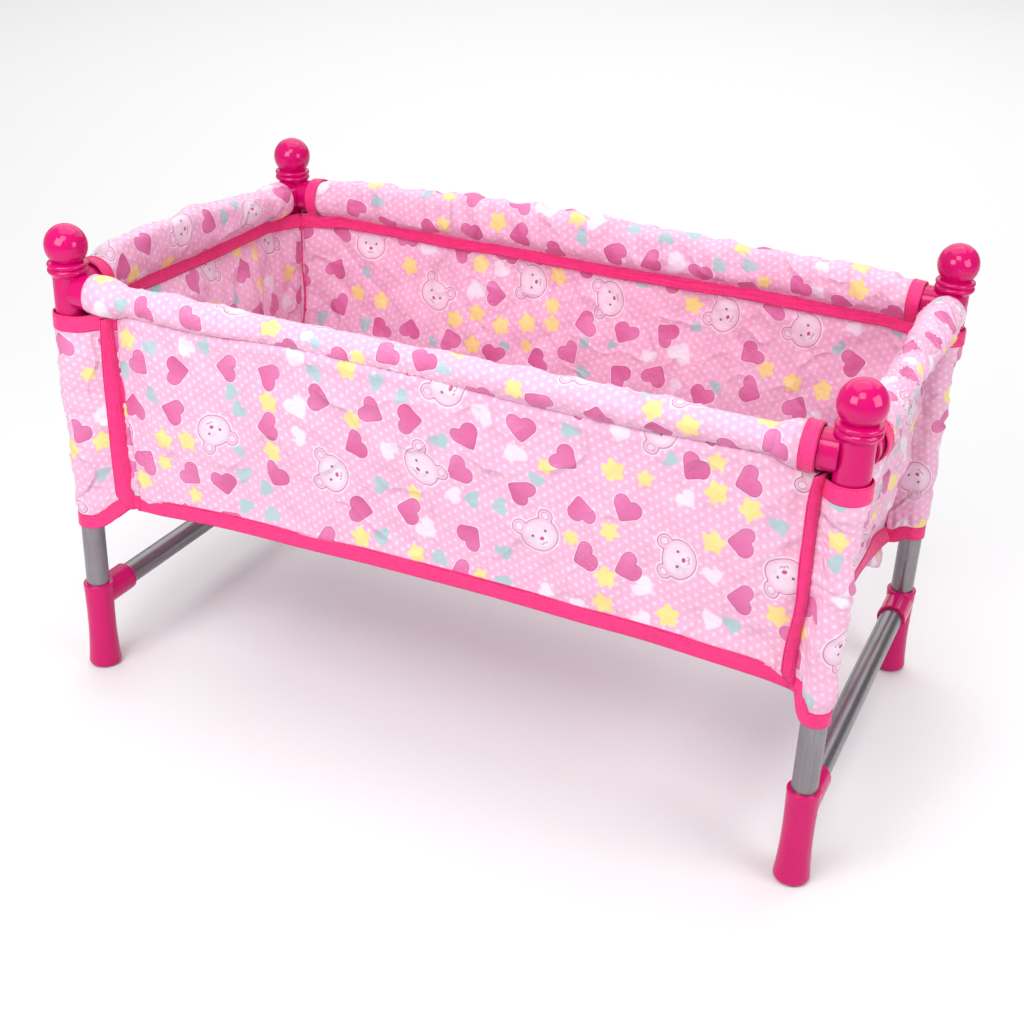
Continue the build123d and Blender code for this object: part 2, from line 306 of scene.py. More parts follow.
def new_object(name, points, faces, corners_flat, material):
    mesh = bpy.data.meshes.new(name)
    mesh.from_pydata((np.asarray(points) * MM).tolist(), [], faces)
    flat = mesh.uv_layers.new(name="flat")
    flat.data.foreach_set("uv", np.asarray(corners_flat, np.float32).ravel())
    mesh.polygons.foreach_set("use_smooth", [True] * len(faces))
    mesh.materials.append(material)
    piece = bpy.data.objects.new(name, mesh)
    scene.collection.objects.link(piece)
    return piece


def grid_faces(rows, cols, flat, wrap):
    """Quads of a grid of points, and the flat-pattern place of each of their corners."""
    faces, corners = [], []
    for i in range(rows - 1):
        for j in range(cols if wrap else cols - 1):
            k = (j + 1) % cols
            faces.append((i * cols + j, i * cols + k, (i + 1) * cols + k, (i + 1) * cols + j))
            corners += [flat[i, j], flat[i, j + 1], flat[i + 1, j + 1], flat[i + 1, j]]
    return faces, corners


def cloth_piece(name, points, flat, wrap=False):
    """A sheet of printed cloth from a grid of points, with its two faces and its cut edge."""
    rows, cols = points.shape[:2]
    faces, corners = grid_faces(rows, cols, flat, wrap)
    piece = new_object(name, points.reshape(-1, 3), faces, corners, PRINT)
    shell = piece.modifiers.new("thickness", "SOLIDIFY")
    shell.thickness = CLOTH * MM
    shell.offset = 0
    return piece


def strip_section(centre_line, thick):
    """Closed outline of a strip of that thickness round an open line, with round edges."""
    line = np.asarray(centre_line, float)
    along = np.gradient(line, axis=0)
    along /= np.linalg.norm(along, axis=1, keepdims=True)
    normal = np.stack([-along[:, 1], along[:, 0]], axis=1)
    half, steps = thick / 2, 4
    turns = np.linspace(-pi / 2, pi / 2, steps + 2)[1:-1]
    end_cap = [line[-1] + half * (cos(a) * along[-1] - sin(a) * normal[-1]) for a in -turns[::-1]]
    start_cap = [line[0] - half * (cos(a) * along[0] - sin(a) * normal[0]) for a in turns]
    upper = line + half * normal
    lower = line - half * normal
    return np.array([*upper, *end_cap[::-1], *lower[::-1], *start_cap[::-1]])


def tape_section(width, thick, bulge=0.25):
    """Folded binding tape: a little fuller towards its fold, and pinched where it is sewn down."""
    across = np.linspace(-width / 2 + thick / 2, width / 2 - thick / 2, 21)
    outline = strip_section(np.stack([across, 0 * across], axis=1), thick)
    fuller = 1 + bulge * smooth(0.5 - outline[:, 0] / width)
    sewn = 1 - 0.45 * bell(outline[:, 0] - width / 2, -1.6, 0.7)
    return outline * np.stack([np.ones(len(outline)), fuller * sewn], axis=1)


def sweep(name, path, across, out, section, closed=False):
    """Tape with a section carried along a path. A section's numbers are across and out."""
    path = np.asarray(path, float)
    across = np.broadcast_to(across, path.shape)
    out = np.broadcast_to(out, path.shape)
    section = np.broadcast_to(section, (len(path), *np.shape(section)[-2:]))
    sideways = section[:, :, :1] * across[:, None, :]
    points = path[:, None, :] + sideways + section[:, :, 1:] * out[:, None, :]
    rows, cols = points.shape[:2]
    if closed:
        points = looped(points)
        rows += 1
    length = lengths_along(points.mean(1))
    round_it = lengths_along(looped(section[0]))
    flat = np.stack(np.broadcast_arrays(length[:, None], round_it[None, :]), axis=-1)
    faces, corners = grid_faces(rows, cols, flat, True)
    if closed:
        last = (rows - 1) * cols
        faces = [tuple(v - last if v >= last else v for v in face) for face in faces]
        points = points[:-1]
    else:
        for row, order in ((0, -1), (rows - 1, 1)):
            faces.append(tuple(row * cols + np.arange(cols)[::order]))
            corners += [flat[row, j] for j in range(cols)][::order]
    return new_object(name, points.reshape(-1, 3), faces, corners, TAPE_CLOTH)


# ---- materials -----------------------------------------------------------------------


def linear(red, green, blue):
    """A screen colour from 0 to 255 as the linear colour that shaders use."""
    shares = [number / 255 for number in (red, green, blue)]
    return tuple(s / 12.92 if s < 0.0404 else ((s + 0.055) / 1.055) ** 2.4 for s in shares)


class Field:
    """A number that varies over a surface. Arithmetic on it adds math nodes to its material."""

    def __init__(self, tree, socket):
        self.tree = tree
        self.socket = socket

    def does(self, operation, *others, clamp=False):
        node = self.tree.nodes.new("ShaderNodeMath")
        node.operation = operation
        node.use_clamp = clamp
        for slot, value in zip(node.inputs, (self, *others)):
            if isinstance(value, Field):
                self.tree.links.new(value.socket, slot)
            else:
                slot.default_value = value
        return Field(self.tree, node.outputs[0])

    __add__ = partialmethod(does, "ADD")
    __sub__ = partialmethod(does, "SUBTRACT")
    __mul__ = partialmethod(does, "MULTIPLY")
    __truediv__ = partialmethod(does, "DIVIDE")
    __abs__ = partialmethod(does, "ABSOLUTE")
    power = partialmethod(does, "POWER")
    least = partialmethod(does, "MINIMUM")
    most = partialmethod(does, "MAXIMUM")
    over = partialmethod(does, "GREATER_THAN")
    under = partialmethod(does, "LESS_THAN")
    sine = partialmethod(does, "SINE")
    cosine = partialmethod(does, "COSINE")

    def ramp(self, gain, shift):
        """This times gain, plus shift, kept between 0 and 1."""
        return self.does("MULTIPLY_ADD", gain, shift, clamp=True)


def hypot(x, y):
    return (x * x + y * y).power(0.5)


def inside(distance, blur=0.35):
    """Cover of a shape from the distance to its edge, which is negative inside it."""
    return distance.ramp(-1 / blur, 0.5)


# Places of a Mix node's colour sockets, which share their names with its other ones.
MIX_UNDER, MIX_OVER, MIX_RESULT = 6, 7, 2


class Paint:
    """A material being made: a Principled shader, and colours laid one over another."""

    def __init__(self, name, colour):
        self.material = bpy.data.materials.new(name)
        self.material.use_nodes = True
        self.tree = self.material.node_tree
        self.shader = self.tree.nodes["Principled BSDF"]
        self.colour = None
        self.first = (*colour, 1)
        self.height = None

    def node(self, kind, **settings):
        made = self.tree.nodes.new(kind)
        for key, value in settings.items():
            setattr(made, key, value)
        return made

    def link(self, source, target):
        self.tree.links.new(source.socket if isinstance(source, Field) else source, target)

    def parts(self, vector):
        split = self.node("ShaderNodeSeparateXYZ")
        self.link(vector, split.inputs[0])
        return [Field(self.tree, output) for output in split.outputs]

    def vector(self, x, y):
        joined = self.node("ShaderNodeCombineXYZ")
        self.link(x, joined.inputs[0])
        self.link(y, joined.inputs[1])
        return joined.outputs[0]

    def flat(self):
        """Place on the flat cloth, in millimetres."""
        return self.parts(self.node("ShaderNodeUVMap", uv_map="flat").outputs[0])[:2]

    def row_frame(self):
        """Place in the row frame, in metres, as the CAD pieces have it."""
        return self.node("ShaderNodeTexCoord").outputs["Object"]

    def noise(self, vector, scale, detail=3.0, roughness=0.5, stretch=None):
        if stretch is not None:
            mapping = self.node("ShaderNodeMapping")
            mapping.inputs["Scale"].default_value = stretch
            self.link(vector, mapping.inputs["Vector"])
            vector = mapping.outputs[0]
        made = self.node("ShaderNodeTexNoise")
        made.inputs["Scale"].default_value = scale
        made.inputs["Detail"].default_value = detail
        made.inputs["Roughness"].default_value = roughness
        self.link(vector, made.inputs["Vector"])
        return Field(self.tree, made.outputs[0])

    def lay(self, colour, cover):
        """Lays a colour over what is there. cover is from 0 to 1."""
        mix = self.node("ShaderNodeMix", data_type="RGBA")
        self.link(cover, mix.inputs["Factor"])
        if self.colour is None:
            mix.inputs[MIX_UNDER].default_value = self.first
        else:
            self.link(self.colour, mix.inputs[MIX_UNDER])
        mix.inputs[MIX_OVER].default_value = (*colour, 1)
        self.colour = mix.outputs[MIX_RESULT]

    def raise_by(self, height):
        self.height = height if self.height is None else self.height + height

    def settings(self, **values):
        for key, value in values.items():
            self.shader.inputs[key.replace("_", " ")].default_value = value

    def done(self, bump=1.0):
        if self.colour is None:
            self.shader.inputs["Base Color"].default_value = self.first
        else:
            self.link(self.colour, self.shader.inputs["Base Color"])
        if self.height is not None:
            made = self.node("ShaderNodeBump")
            made.inputs["Strength"].default_value = bump
            made.inputs["Distance"].default_value = MM
            self.link(self.height, made.inputs["Height"])
            self.link(made.outputs[0], self.shader.inputs["Normal"])
        return self.material


class Scatter:
    """Motifs strewn over the flat cloth, one to a cell, each with its own turn and chances."""

    def __init__(self, paint, x, y, pitch, loose):
        self.paint = paint
        self.pitch = pitch
        self.loose = loose
        self.x = x
        self.y = y
        cell = self.cell(x, y, "F1")
        self.centre_x, self.centre_y = paint.parts(cell.outputs["Position"])[:2]
        colour = paint.node("ShaderNodeSeparateColor")
        paint.link(cell.outputs["Color"], colour.inputs[0])
        self.chance, self.turn, self.size = [Field(paint.tree, output) for output in colour.outputs]

    def cell(self, x, y, feature):
        cell = self.paint.node("ShaderNodeTexVoronoi", voronoi_dimensions="2D", feature=feature)
        cell.inputs["Scale"].default_value = 1 / self.pitch
        cell.inputs["Randomness"].default_value = self.loose
        self.paint.link(self.paint.vector(x, y), cell.inputs["Vector"])
        return cell

    def room(self):
        """Half the way from this motif's centre to the next one's."""
        cell = self.cell(self.x, self.y, "N_SPHERE_RADIUS")
        return Field(self.paint.tree, cell.outputs["Radius"]) * self.pitch

    def far_from(self, other):
        """How far this motif's centre is from the other scatter's nearest one."""
        near = other.cell(self.centre_x, self.centre_y, "F1")
        x, y = self.paint.parts(near.outputs["Position"])[:2]
        return hypot(x - self.centre_x, y - self.centre_y)

    def turned(self):
        """Place within the motif, in its own turned axes."""
        angle = self.turn * (2 * pi)
        x, y = self.x - self.centre_x, self.y - self.centre_y
        c, s = angle.cosine(), angle.sine()
        return x * c + y * s, y * c - x * s


def heart(x, y, half):
    """Distance to the edge of a plump, slightly lopsided heart that is 2 * half wide."""
    x, y = x / half, y / half
    x = x + y * 0.12
    lobe = hypot((x * x + 0.002).power(0.5) - 0.46, y - 0.3) - 0.54
    x = (x * x + 0.025).power(0.5)
    point = (x * 0.74 - y * 0.67 - 0.679).most(x * 0.67 + y * 0.74 - 0.53).most(y - 0.3)
    return lobe.does("SMOOTH_MIN", point, 0.1) * half


def star(x, y, half):
    """Distance to the edge of a rounded star with five points."""
    angle = y.does("ARCTAN2", x)
    return hypot(x, y) - half * ((angle * 5).cosine() * 0.15 + 0.85)


def oval(x, y, at_x, at_y, half_x, half_y):
    x, y = (x - at_x) / half_x, (y - at_y) / half_y
    return (hypot(x, y) - 1) * min(half_x, half_y)


def line(distance, width, blur=0.35):
    """Cover of a line of that width along a shape's edge."""
    return inside(abs(distance) - width / 2, blur)


def dyed(red, green, blue):
    """A print colour as it lies on the cloth, which takes up some of the light."""
    return tuple(0.86 * share for share in linear(red, green, blue))


# Turn and step of the two rows of the dots' lattice.
DOT_ROWS = ((radians(-52), 5.1), (radians(-117), 4.55))
GROUND = dyed(243, 180, 212)
DOT = dyed(243, 229, 240)
HALO = dyed(244, 222, 236)
ROSE = dyed(214, 92, 150)
ROSE_WARM = dyed(228, 122, 178)
ROSE_EDGE = dyed(176, 84, 138)
MINT = dyed(168, 202, 206)
YELLOW = dyed(251, 228, 134)
PEACH = dyed(246, 206, 168)
PALE = dyed(243, 232, 245)
OUTLINE = dyed(176, 104, 150)
TEDDY_RIM = dyed(243, 188, 216)
TEDDY_FACE = dyed(240, 214, 231)
NOSE = dyed(206, 78, 134)


def print_material():
    """Thin printed cloth: dots on pink, hearts, stars and teddy faces, in a plain weave."""
    paint = Paint("printed_cloth", GROUND)
    x, y = paint.flat()

    # white dots in slanting rows, a little uneven as such prints are
    spot = paint.vector(x, y)
    ink = paint.noise(spot, 0.35, 4.0, 0.7)
    mottle = ink.ramp(2.6, -1.15)
    paint.lay(dyed(246, 170, 208), mottle * 0.25)
    a, b = [
        (((x * cos(turn) + y * sin(turn)) / step).does("FRACT") - 0.5) * step for turn, step in DOT_ROWS
    ]
    between = DOT_ROWS[0][0] - DOT_ROWS[1][0]
    square = (a * a + b * b - a * b * (2 * cos(between))) * (1 / sin(between) ** 2)
    dots = inside(square.most(0.0).power(0.5) - 1.15, 1.0)
    paint.lay(DOT, dots * (ink * 0.5 + 0.36).least(0.74))

    # each kind of motif has its own spacing
    teddies = Scatter(paint, x, y, 76.0, 0.42)
    hearts = Scatter(paint, x, y, 35.0, 0.45)
    small = Scatter(paint, x, y, 21.0, 0.65)
    teddy_room, heart_half = 15.0, 9.4

    # pale hearts, mint hearts and stars, wherever the rose hearts and teddies leave room
    clear = (small.far_from(hearts) - heart_half * 0.9).least(small.far_from(teddies) - teddy_room)
    sx, sy = small.turned()
    room = small.room().least(clear)
    pale = inside(heart(sx, sy, room.least(9.0).most(0.5)), 1.4) * small.chance.over(0.7) * clear.over(5.0)
    paint.lay(PALE, pale * 0.85)
    mint = heart(sx, sy, room.least(6.0).most(0.5))
    is_mint = small.chance.under(0.36) * clear.over(4.2)
    paint.lay(MINT, inside(mint, 0.6) * is_mint * 0.9)
    yellow = star(sx, sy, room.least(7.4).most(0.5))
    is_star = small.chance.over(0.36) * small.chance.under(0.7) * clear.over(5.2)
    paint.lay(YELLOW, inside(yellow, 0.7) * is_star * 0.92)
    paint.lay(PEACH, inside(yellow + 1.5, 6.0) * is_star * mottle * 0.4)

    # rose hearts, some of them stippled
    there = hearts.far_from(teddies).over(teddy_room + heart_half * 0.8)
    hx, hy = hearts.turned()
    rose = heart(hx, hy, (hearts.room() / 1.04).least(heart_half))
    paint.lay(HALO, inside(rose - 0.55, 0.7) * there * 0.75)
    paint.lay(ROSE_WARM, inside(rose) * there)
    depth = (hearts.size * 0.5 + 0.25) + (hx * 0.35 - hy * 0.2) / heart_half
    paint.lay(ROSE, inside(rose, 0.4) * there * depth.does("ADD", mottle * 0.25, clamp=True))
    stipple = paint.noise(spot, 1.5, 2.0).over(0.58) * hearts.chance.over(0.72)
    paint.lay(dyed(240, 160, 200), inside(rose + 0.6) * there * stipple * 0.7)
    paint.lay(ROSE_EDGE, line(rose + 0.25, 0.4) * there * 0.55)

    # teddy faces
    tx, ty = teddies.turned()
    ax = abs(tx)
    head = oval(tx, ty, 0, -1.6, 12.4, 10.4)
    ears = oval(ax, ty, 9.6, 7.6, 4.7, 4.6)
    whole = head.does("SMOOTH_MIN", ears, 1.6)
    paint.lay(HALO, inside(whole - 1.3, 0.6) * 0.9)
    paint.lay(TEDDY_RIM, inside(whole))
    paint.lay(TEDDY_FACE, inside(head + 1.6, 2.6))
    ear_hole = oval(ax, ty, 9.8, 7.9, 2.2, 2.4)
    paint.lay(TEDDY_FACE, inside(ear_hole))
    paint.lay(OUTLINE, line(ear_hole, 0.4) * 0.7)
    paint.lay(OUTLINE, line(whole, 0.6) * 0.85)
    muzzle = oval(tx, ty, 0, -5.2, 4.6, 3.5)
    paint.lay(dyed(244, 226, 240), inside(muzzle, 1.5))
    eyes = inside(oval(ax, ty, 4.6, -0.6, 0.85, 0.95))
    paint.lay(dyed(150, 84, 116), eyes)
    paint.lay(NOSE, inside(oval(tx, ty, 0, -4.2, 1.6, 1.2)))
    smile = line(oval(ax, ty, 1.25, -6.2, 1.25, 1.4), 0.45) * (ty + 6.2).under(0)
    paint.lay(OUTLINE, smile)

    # weave, and the fine crumple of thin cloth
    thread = 2 * pi / 0.62
    weave = (x * thread).sine() * (y * thread).sine()
    crumple = paint.noise(spot, 0.085, 5.0, 0.55)
    paint.raise_by(weave * 0.018)
    paint.raise_by(crumple * 2.8)
    bends = paint.noise(spot, 0.017, 1.0)
    where = paint.noise(paint.vector(y, x), 0.03, 2.0).ramp(5.0, -1.9)
    sharp = abs(bends - 0.5).ramp(-24.0, 1.0)
    paint.raise_by(sharp.power(1.4) * where * 1.5)
    gloss = paint.noise(spot, 0.05, 3.0)
    paint.link(gloss * 0.25 + 0.36, paint.shader.inputs["Roughness"])
    paint.settings(Specular_IOR_Level=0.45, Sheen_Weight=0.1, Sheen_Roughness=0.4)
    return paint.done(0.9)


def tape_material():
    """Hot pink binding tape: fine cross ribs with painted highlights on their crests, soft edges, slightly
    uneven dye.
    """
    paint = Paint("binding_tape", linear(233, 34, 120))
    along, across = paint.flat()
    spot = paint.vector(along, across)
    dye = paint.noise(spot, 0.16, 4.0, 0.6)
    paint.lay(linear(198, 12, 86), dye.ramp(2.4, -0.95) * 0.5)
    ribs = (along * (2 * pi / 0.85)).sine()
    # painted highlight: a lighter pink laid on the crests of the ribs
    paint.lay(linear(246, 86, 146), (ribs * 0.5 + 0.5).power(3.0) * 0.2)
    warp = (across * (2 * pi / 0.7)).sine()
    paint.raise_by(ribs * 0.045 + warp * 0.03)
    long_creases = paint.noise(paint.vector(along * 0.12, across), 0.5, 2.0)
    paint.raise_by(long_creases * 0.9)
    paint.raise_by(paint.noise(spot, 0.12, 3.0) * 0.8)
    paint.link(dye * 0.2 + 0.42, paint.shader.inputs["Roughness"])
    paint.settings(Specular_IOR_Level=0.45, Sheen_Weight=0.2, Sheen_Roughness=0.35)
    return paint.done()


def plastic_material():
    """Glossy magenta moulding, with faint flow marks, a matt bloom and scuffs low down."""
    paint = Paint("pink_plastic", linear(198, 4, 100))
    where = paint.row_frame()
    flow = paint.noise(where, 22.0, 2.0, 0.4, (1, 1, 0.35))
    paint.lay(linear(176, 2, 80), flow.ramp(2.4, -1.0) * 0.35)
    height = paint.parts(where)[2] * (1 / MM)
    scuff = paint.noise(where, 900.0, 4.0, 0.65, (1, 1, 0.25)).ramp(9.0, -5.6)
    low = height.ramp(-1 / 22, 1.0)
    paint.lay(linear(236, 92, 160), scuff * low * 0.5)
    skin = paint.noise(where, 1400.0, 2.0)
    bloom = paint.noise(where, 60.0, 3.0)
    paint.link(bloom * 0.06 + scuff * low * 0.3 + 0.08, paint.shader.inputs["Roughness"])
    paint.raise_by(skin * 0.005)
    paint.raise_by(paint.noise(where, 110.0, 2.0) * 0.04)
    paint.settings(Specular_IOR_Level=0.33, IOR=1.5)
    return paint.done()


def steel_material(name, grain):
    """Satin grey steel tube, with drawing lines along it. grain is short along the tube."""
    paint = Paint(name, linear(146, 141, 145))
    where = paint.row_frame()
    lines = paint.noise(where, 1600.0, 3.0, 0.6, grain)
    cloud = paint.noise(where, 45.0, 4.0, 0.6)
    paint.lay(linear(108, 103, 107), lines.ramp(3.0, -1.3) * 0.5)
    paint.lay(linear(116, 108, 110), cloud.ramp(3.0, -1.4) * 0.3)
    paint.link(lines * 0.12 + cloud * 0.1 + 0.18, paint.shader.inputs["Roughness"])
    paint.raise_by(lines * 0.01)
    paint.settings(Metallic=0.9, Specular_IOR_Level=0.6)
    return paint.done()


def thread_material():
    """Sewing thread with its twist, and painted highlights along the ridges of the twist."""
    paint = Paint("sewing_thread", linear(236, 40, 112))
    along, across = paint.flat()
    twist = (along * 6.0 + across * 3.0).sine()
    # painted highlight: a lighter pink laid along the raised ridges of the twist
    paint.lay(linear(255, 120, 170), (twist * 0.5 + 0.5) * 0.35)
    paint.raise_by(twist * 0.05)
    paint.settings(Roughness=0.5, Sheen_Weight=0.2)
    return paint.done()


def floor_material():
    """Plain pale studio floor."""
    paint = Paint("studio_floor", linear(222, 222, 223))
    paint.settings(Roughness=0.85, Specular_IOR_Level=0.1)
    return paint.done()


PRINT = print_material()
TAPE_CLOTH = tape_material()
PLASTIC = plastic_material()
THREAD = thread_material()
STEEL = {
    "x": steel_material("steel_along_x", (0.02, 1, 1)),
    "y": steel_material("steel_along_y", (1, 0.02, 1)),
    "z": steel_material("steel_upright", (1, 1, 0.02)),
}

# ---- sewing --------------------------------------------------------------------------

stitch_lines = []           # (points, directions out of the cloth) of each row of stitches


def sew(path, out, closed=False):
    """Notes a row of stitches along a path, and the directions out of the cloth there."""
    out = np.broadcast_to(out, path.shape)
    stitch_lines.append((looped(path), looped(out)) if closed else (path, out))


def stitch_mesh():
    """Every stitch is a short thread that dips into the cloth at both ends."""
    pitch, length, radius, sides = 3.0, 2.3, 0.24, 5
    # along the stitch, in lengths; how thick it is there, and how far it stands up, in radii
    half = [(0.0, 1.0, 0.3), (0.3, 0.9, 0.1), (0.5, 0.15, -0.3)]
    profile = [(-share, thick, lift) for share, thick, lift in half[:0:-1]] + half
    points, faces, flats = [], [], []
    for path, out in stitch_lines:
        lengths = lengths_along(path)
        for at in np.arange(pitch / 2, lengths[-1], pitch):
            centre = point_at(at, lengths, path)
            up = point_at(at, lengths, out)
            way = point_at(at + 0.5, lengths, path) - point_at(at - 0.5, lengths, path)
            way /= max(np.linalg.norm(way), 1e-9)
            side = np.cross(up, way)
            first = len(points)
            for share, thick, lift in profile:
                for k in range(sides):
                    turn = 2 * pi * k / sides
                    rise = up * (radius * thick * sin(turn) + radius * lift)
                    points.append(centre + way * share * length + rise + side * radius * thick * cos(turn))
            for row in range(len(profile) - 1):
                for k in range(sides):
                    n = (k + 1) % sides
                    a = first + row * sides
                    faces.append((a + k, a + n, a + sides + n, a + sides + k))
                    flats += [(row, k), (row, k + 1), (row + 1, k + 1), (row + 1, k)]
            faces.append(tuple(first + np.arange(sides)[::-1]))
            faces.append(tuple(first + (len(profile) - 1) * sides + np.arange(sides)))
            flats += [(0, k) for k in range(sides)] * 2
    return new_object("stitching", points, faces, flats, THREAD)


# ---- the cloth body ------------------------------------------------------------------


def hem_line(side, along):
    """Middle height of a panel's bound hem, and how far out of the side it is."""
    (start, out_start), (end, out_end) = seams(side)
    share = np.clip((along - start) / (end - start), 0, 1)
    bow = (4 * share * (1 - share)) ** 0.7
    rise, pull = HEM_BOW[side]
    sway = waves(along, 0, 110, 5 + SIDE_SEED[side])
    height = HEM_TOP - TAPE / 2 + rise * bow + 0.5 * sway
    for corner, distance in ((SIDES[side][4], along - start), (SIDES[side][5], end - along)):
        drop = SEAM_HEM[corner] - HEM_TOP + TAPE / 2
        if (side, corner) == ("right", "back_right"):
            height = height + drop * np.exp(-distance / 62)
        else:
            height = height + drop * (1 - smooth(distance / 20))
    return height, out_start + (out_end - out_start) * share - pull * bow + 0.6 * sway * bow


def hem_flare(side, along):
    """How far a panel's hem leans outwards, where the full floor cloth pushes its lower edge out."""
    end, _ = seams(side)[1]
    return radians(38) * bell(end - along, 28, 45) if side == "right" else 0 * along


def sleeve_radius(side, along):
    """Radius of a rail sleeve: wide over the connector arms, snug on the tube between."""
    half = SIDES[side][3]
    from_post = half - np.abs(along)
    neck = smooth((from_post - ARM_END - 1.5) / 15)
    slack = 0.6 * waves(along, 3, 120, 21 + SIDE_SEED[side])
    if side == "right":
        slack = slack + 2.4 * smooth((along - half + 105) / 60)
    return MOUTH_R + (SNUG_R + SLEEVE_LOOSE[side] + slack - MOUTH_R) * neck


def seam_raise(side, along):
    """How far a rail sleeve's outer seam has ridden up over its rail."""
    return 6.0 * np.exp(-(((along + 45) / 85) ** 4)) if side == "front" else 0 * along


def sleeve_puff(side, along):
    """How far the top of a rail sleeve stands up, loose, above its rail."""
    half = SIDES[side][3]
    loose = smooth((half - np.abs(along) - SLEEVE_START - 8) / 20)
    if side == "back":
        return loose * (4.0 + 5.0 * (1 - (along / half) ** 2) + 3.0 * bell(along, 75, 60))
    return loose * 9.5 * smooth((along + 125) / 150) if side == "left" else 0 * along


def rail_sleeve(side):
    """Printed channel round a rail, from its outer seam over the rail to its inner seam."""
    half = SIDES[side][3]
    ends = half - SLEEVE_START - 0.4
    crushed = side == "right"
    along = np.linspace(-ends, ends, int(2 * ends / (0.75 if crushed else 1.6)))[:, None]
    turn = np.linspace(0, 1, 60)[None, :]
    raised = seam_raise(side, along)
    first, last = np.radians(-78 + 8 * raised), radians(258)
    angle = first + (last - first) * turn
    radius = sleeve_radius(side, along)
    girth = (turn - 0.5) * SLEEVE_GIRTH[side]
    to_seam = smooth((np.abs(turn - 0.5) - 0.38) / 0.12)
    seed = SLEEVE_SEED[side]
    from_end = smooth((half - np.abs(along) - SLEEVE_START) / 18)
    free = (1 - to_seam) * (0.2 + 0.8 * from_end)

    # soft dents all over, slanting drags from both seams, and close puckers next to the stitching
    dents = 0.55 * waves(along, girth, 34, seed) + 0.3 * waves(along, girth, 17, seed + 3)
    slant = folds(along, girth, 21, seed + 9, 0.45, 0.3) * smooth(girth / 8 + 0.6)
    slant = slant + folds(along, girth, 19, seed + 11, -0.45, 0.3) * smooth(0.6 - girth / 8)
    pucker = folds(along, 0.3 * girth, 8.5, seed + 17, 0.0, 0.15)
    pucker = pucker * smooth((np.abs(turn - 0.5) - 0.2) / 0.2)
    push = free * (dents + 0.38 * slant) + 0.45 * pucker * (1 - 0.7 * to_seam)
    if crushed:
        gather = along + 0.75 * np.abs(girth) + 2.0 * waves(along, girth, 40, seed + 21)
        patch = smooth(0.55 + 0.8 * waves(along, girth, 55, seed + 23))
        push = push * 1.3 + free * patch * 1.4 * (1 - 2 * np.abs(np.sin(pi * gather / 4.0)) ** 0.8)
    radius = radius + push
    least = np.where(half - np.abs(along) < ARM_END + 1.5, ARM_CLEAR, TUBE_R + 0.6)
    radius = np.maximum(radius, least)
    out, up = radius * np.cos(angle), radius * np.sin(angle)
    puff = sleeve_puff(side, along) * (1 + 0.12 * waves(along, girth, 26, seed + 5))
    up = up + puff * smooth(1.2 * np.sin(angle))
    lip_out = np.where(turn < 0.5, (1.0 if side == "front" else 2.2) + 1.05 * raised, -1.6)
    lip_up = -(sleeve_radius(side, along) + 1.6) + 0.4 * pucker + np.where(turn < 0.5, raised, 0)
    out = out + (lip_out - out) * to_seam
    up = up + (lip_up - up) * to_seam
    if is_end(side):
        out = out - 1.5 * smooth((-up - 2) / 10)
    points = place(side, along, out, RAIL_Z + up)

    # the cloth laid flat: round the sleeve by arc length, from its top, and as wide all along
    steps = np.hypot(np.diff(out, axis=1), np.diff(up, axis=1))
    across = np.concatenate([0 * out[:, :1], np.cumsum(steps, axis=1)], axis=1)
    across = (across - across[:, 30:31]) * (np.mean(across[:, -1]) / across[:, -1:])
    flat = np.stack(np.broadcast_arrays(along, across), axis=-1)
    return points, flat + np.array(PATTERN_SHIFT[side]) + SLEEVE_SHIFT


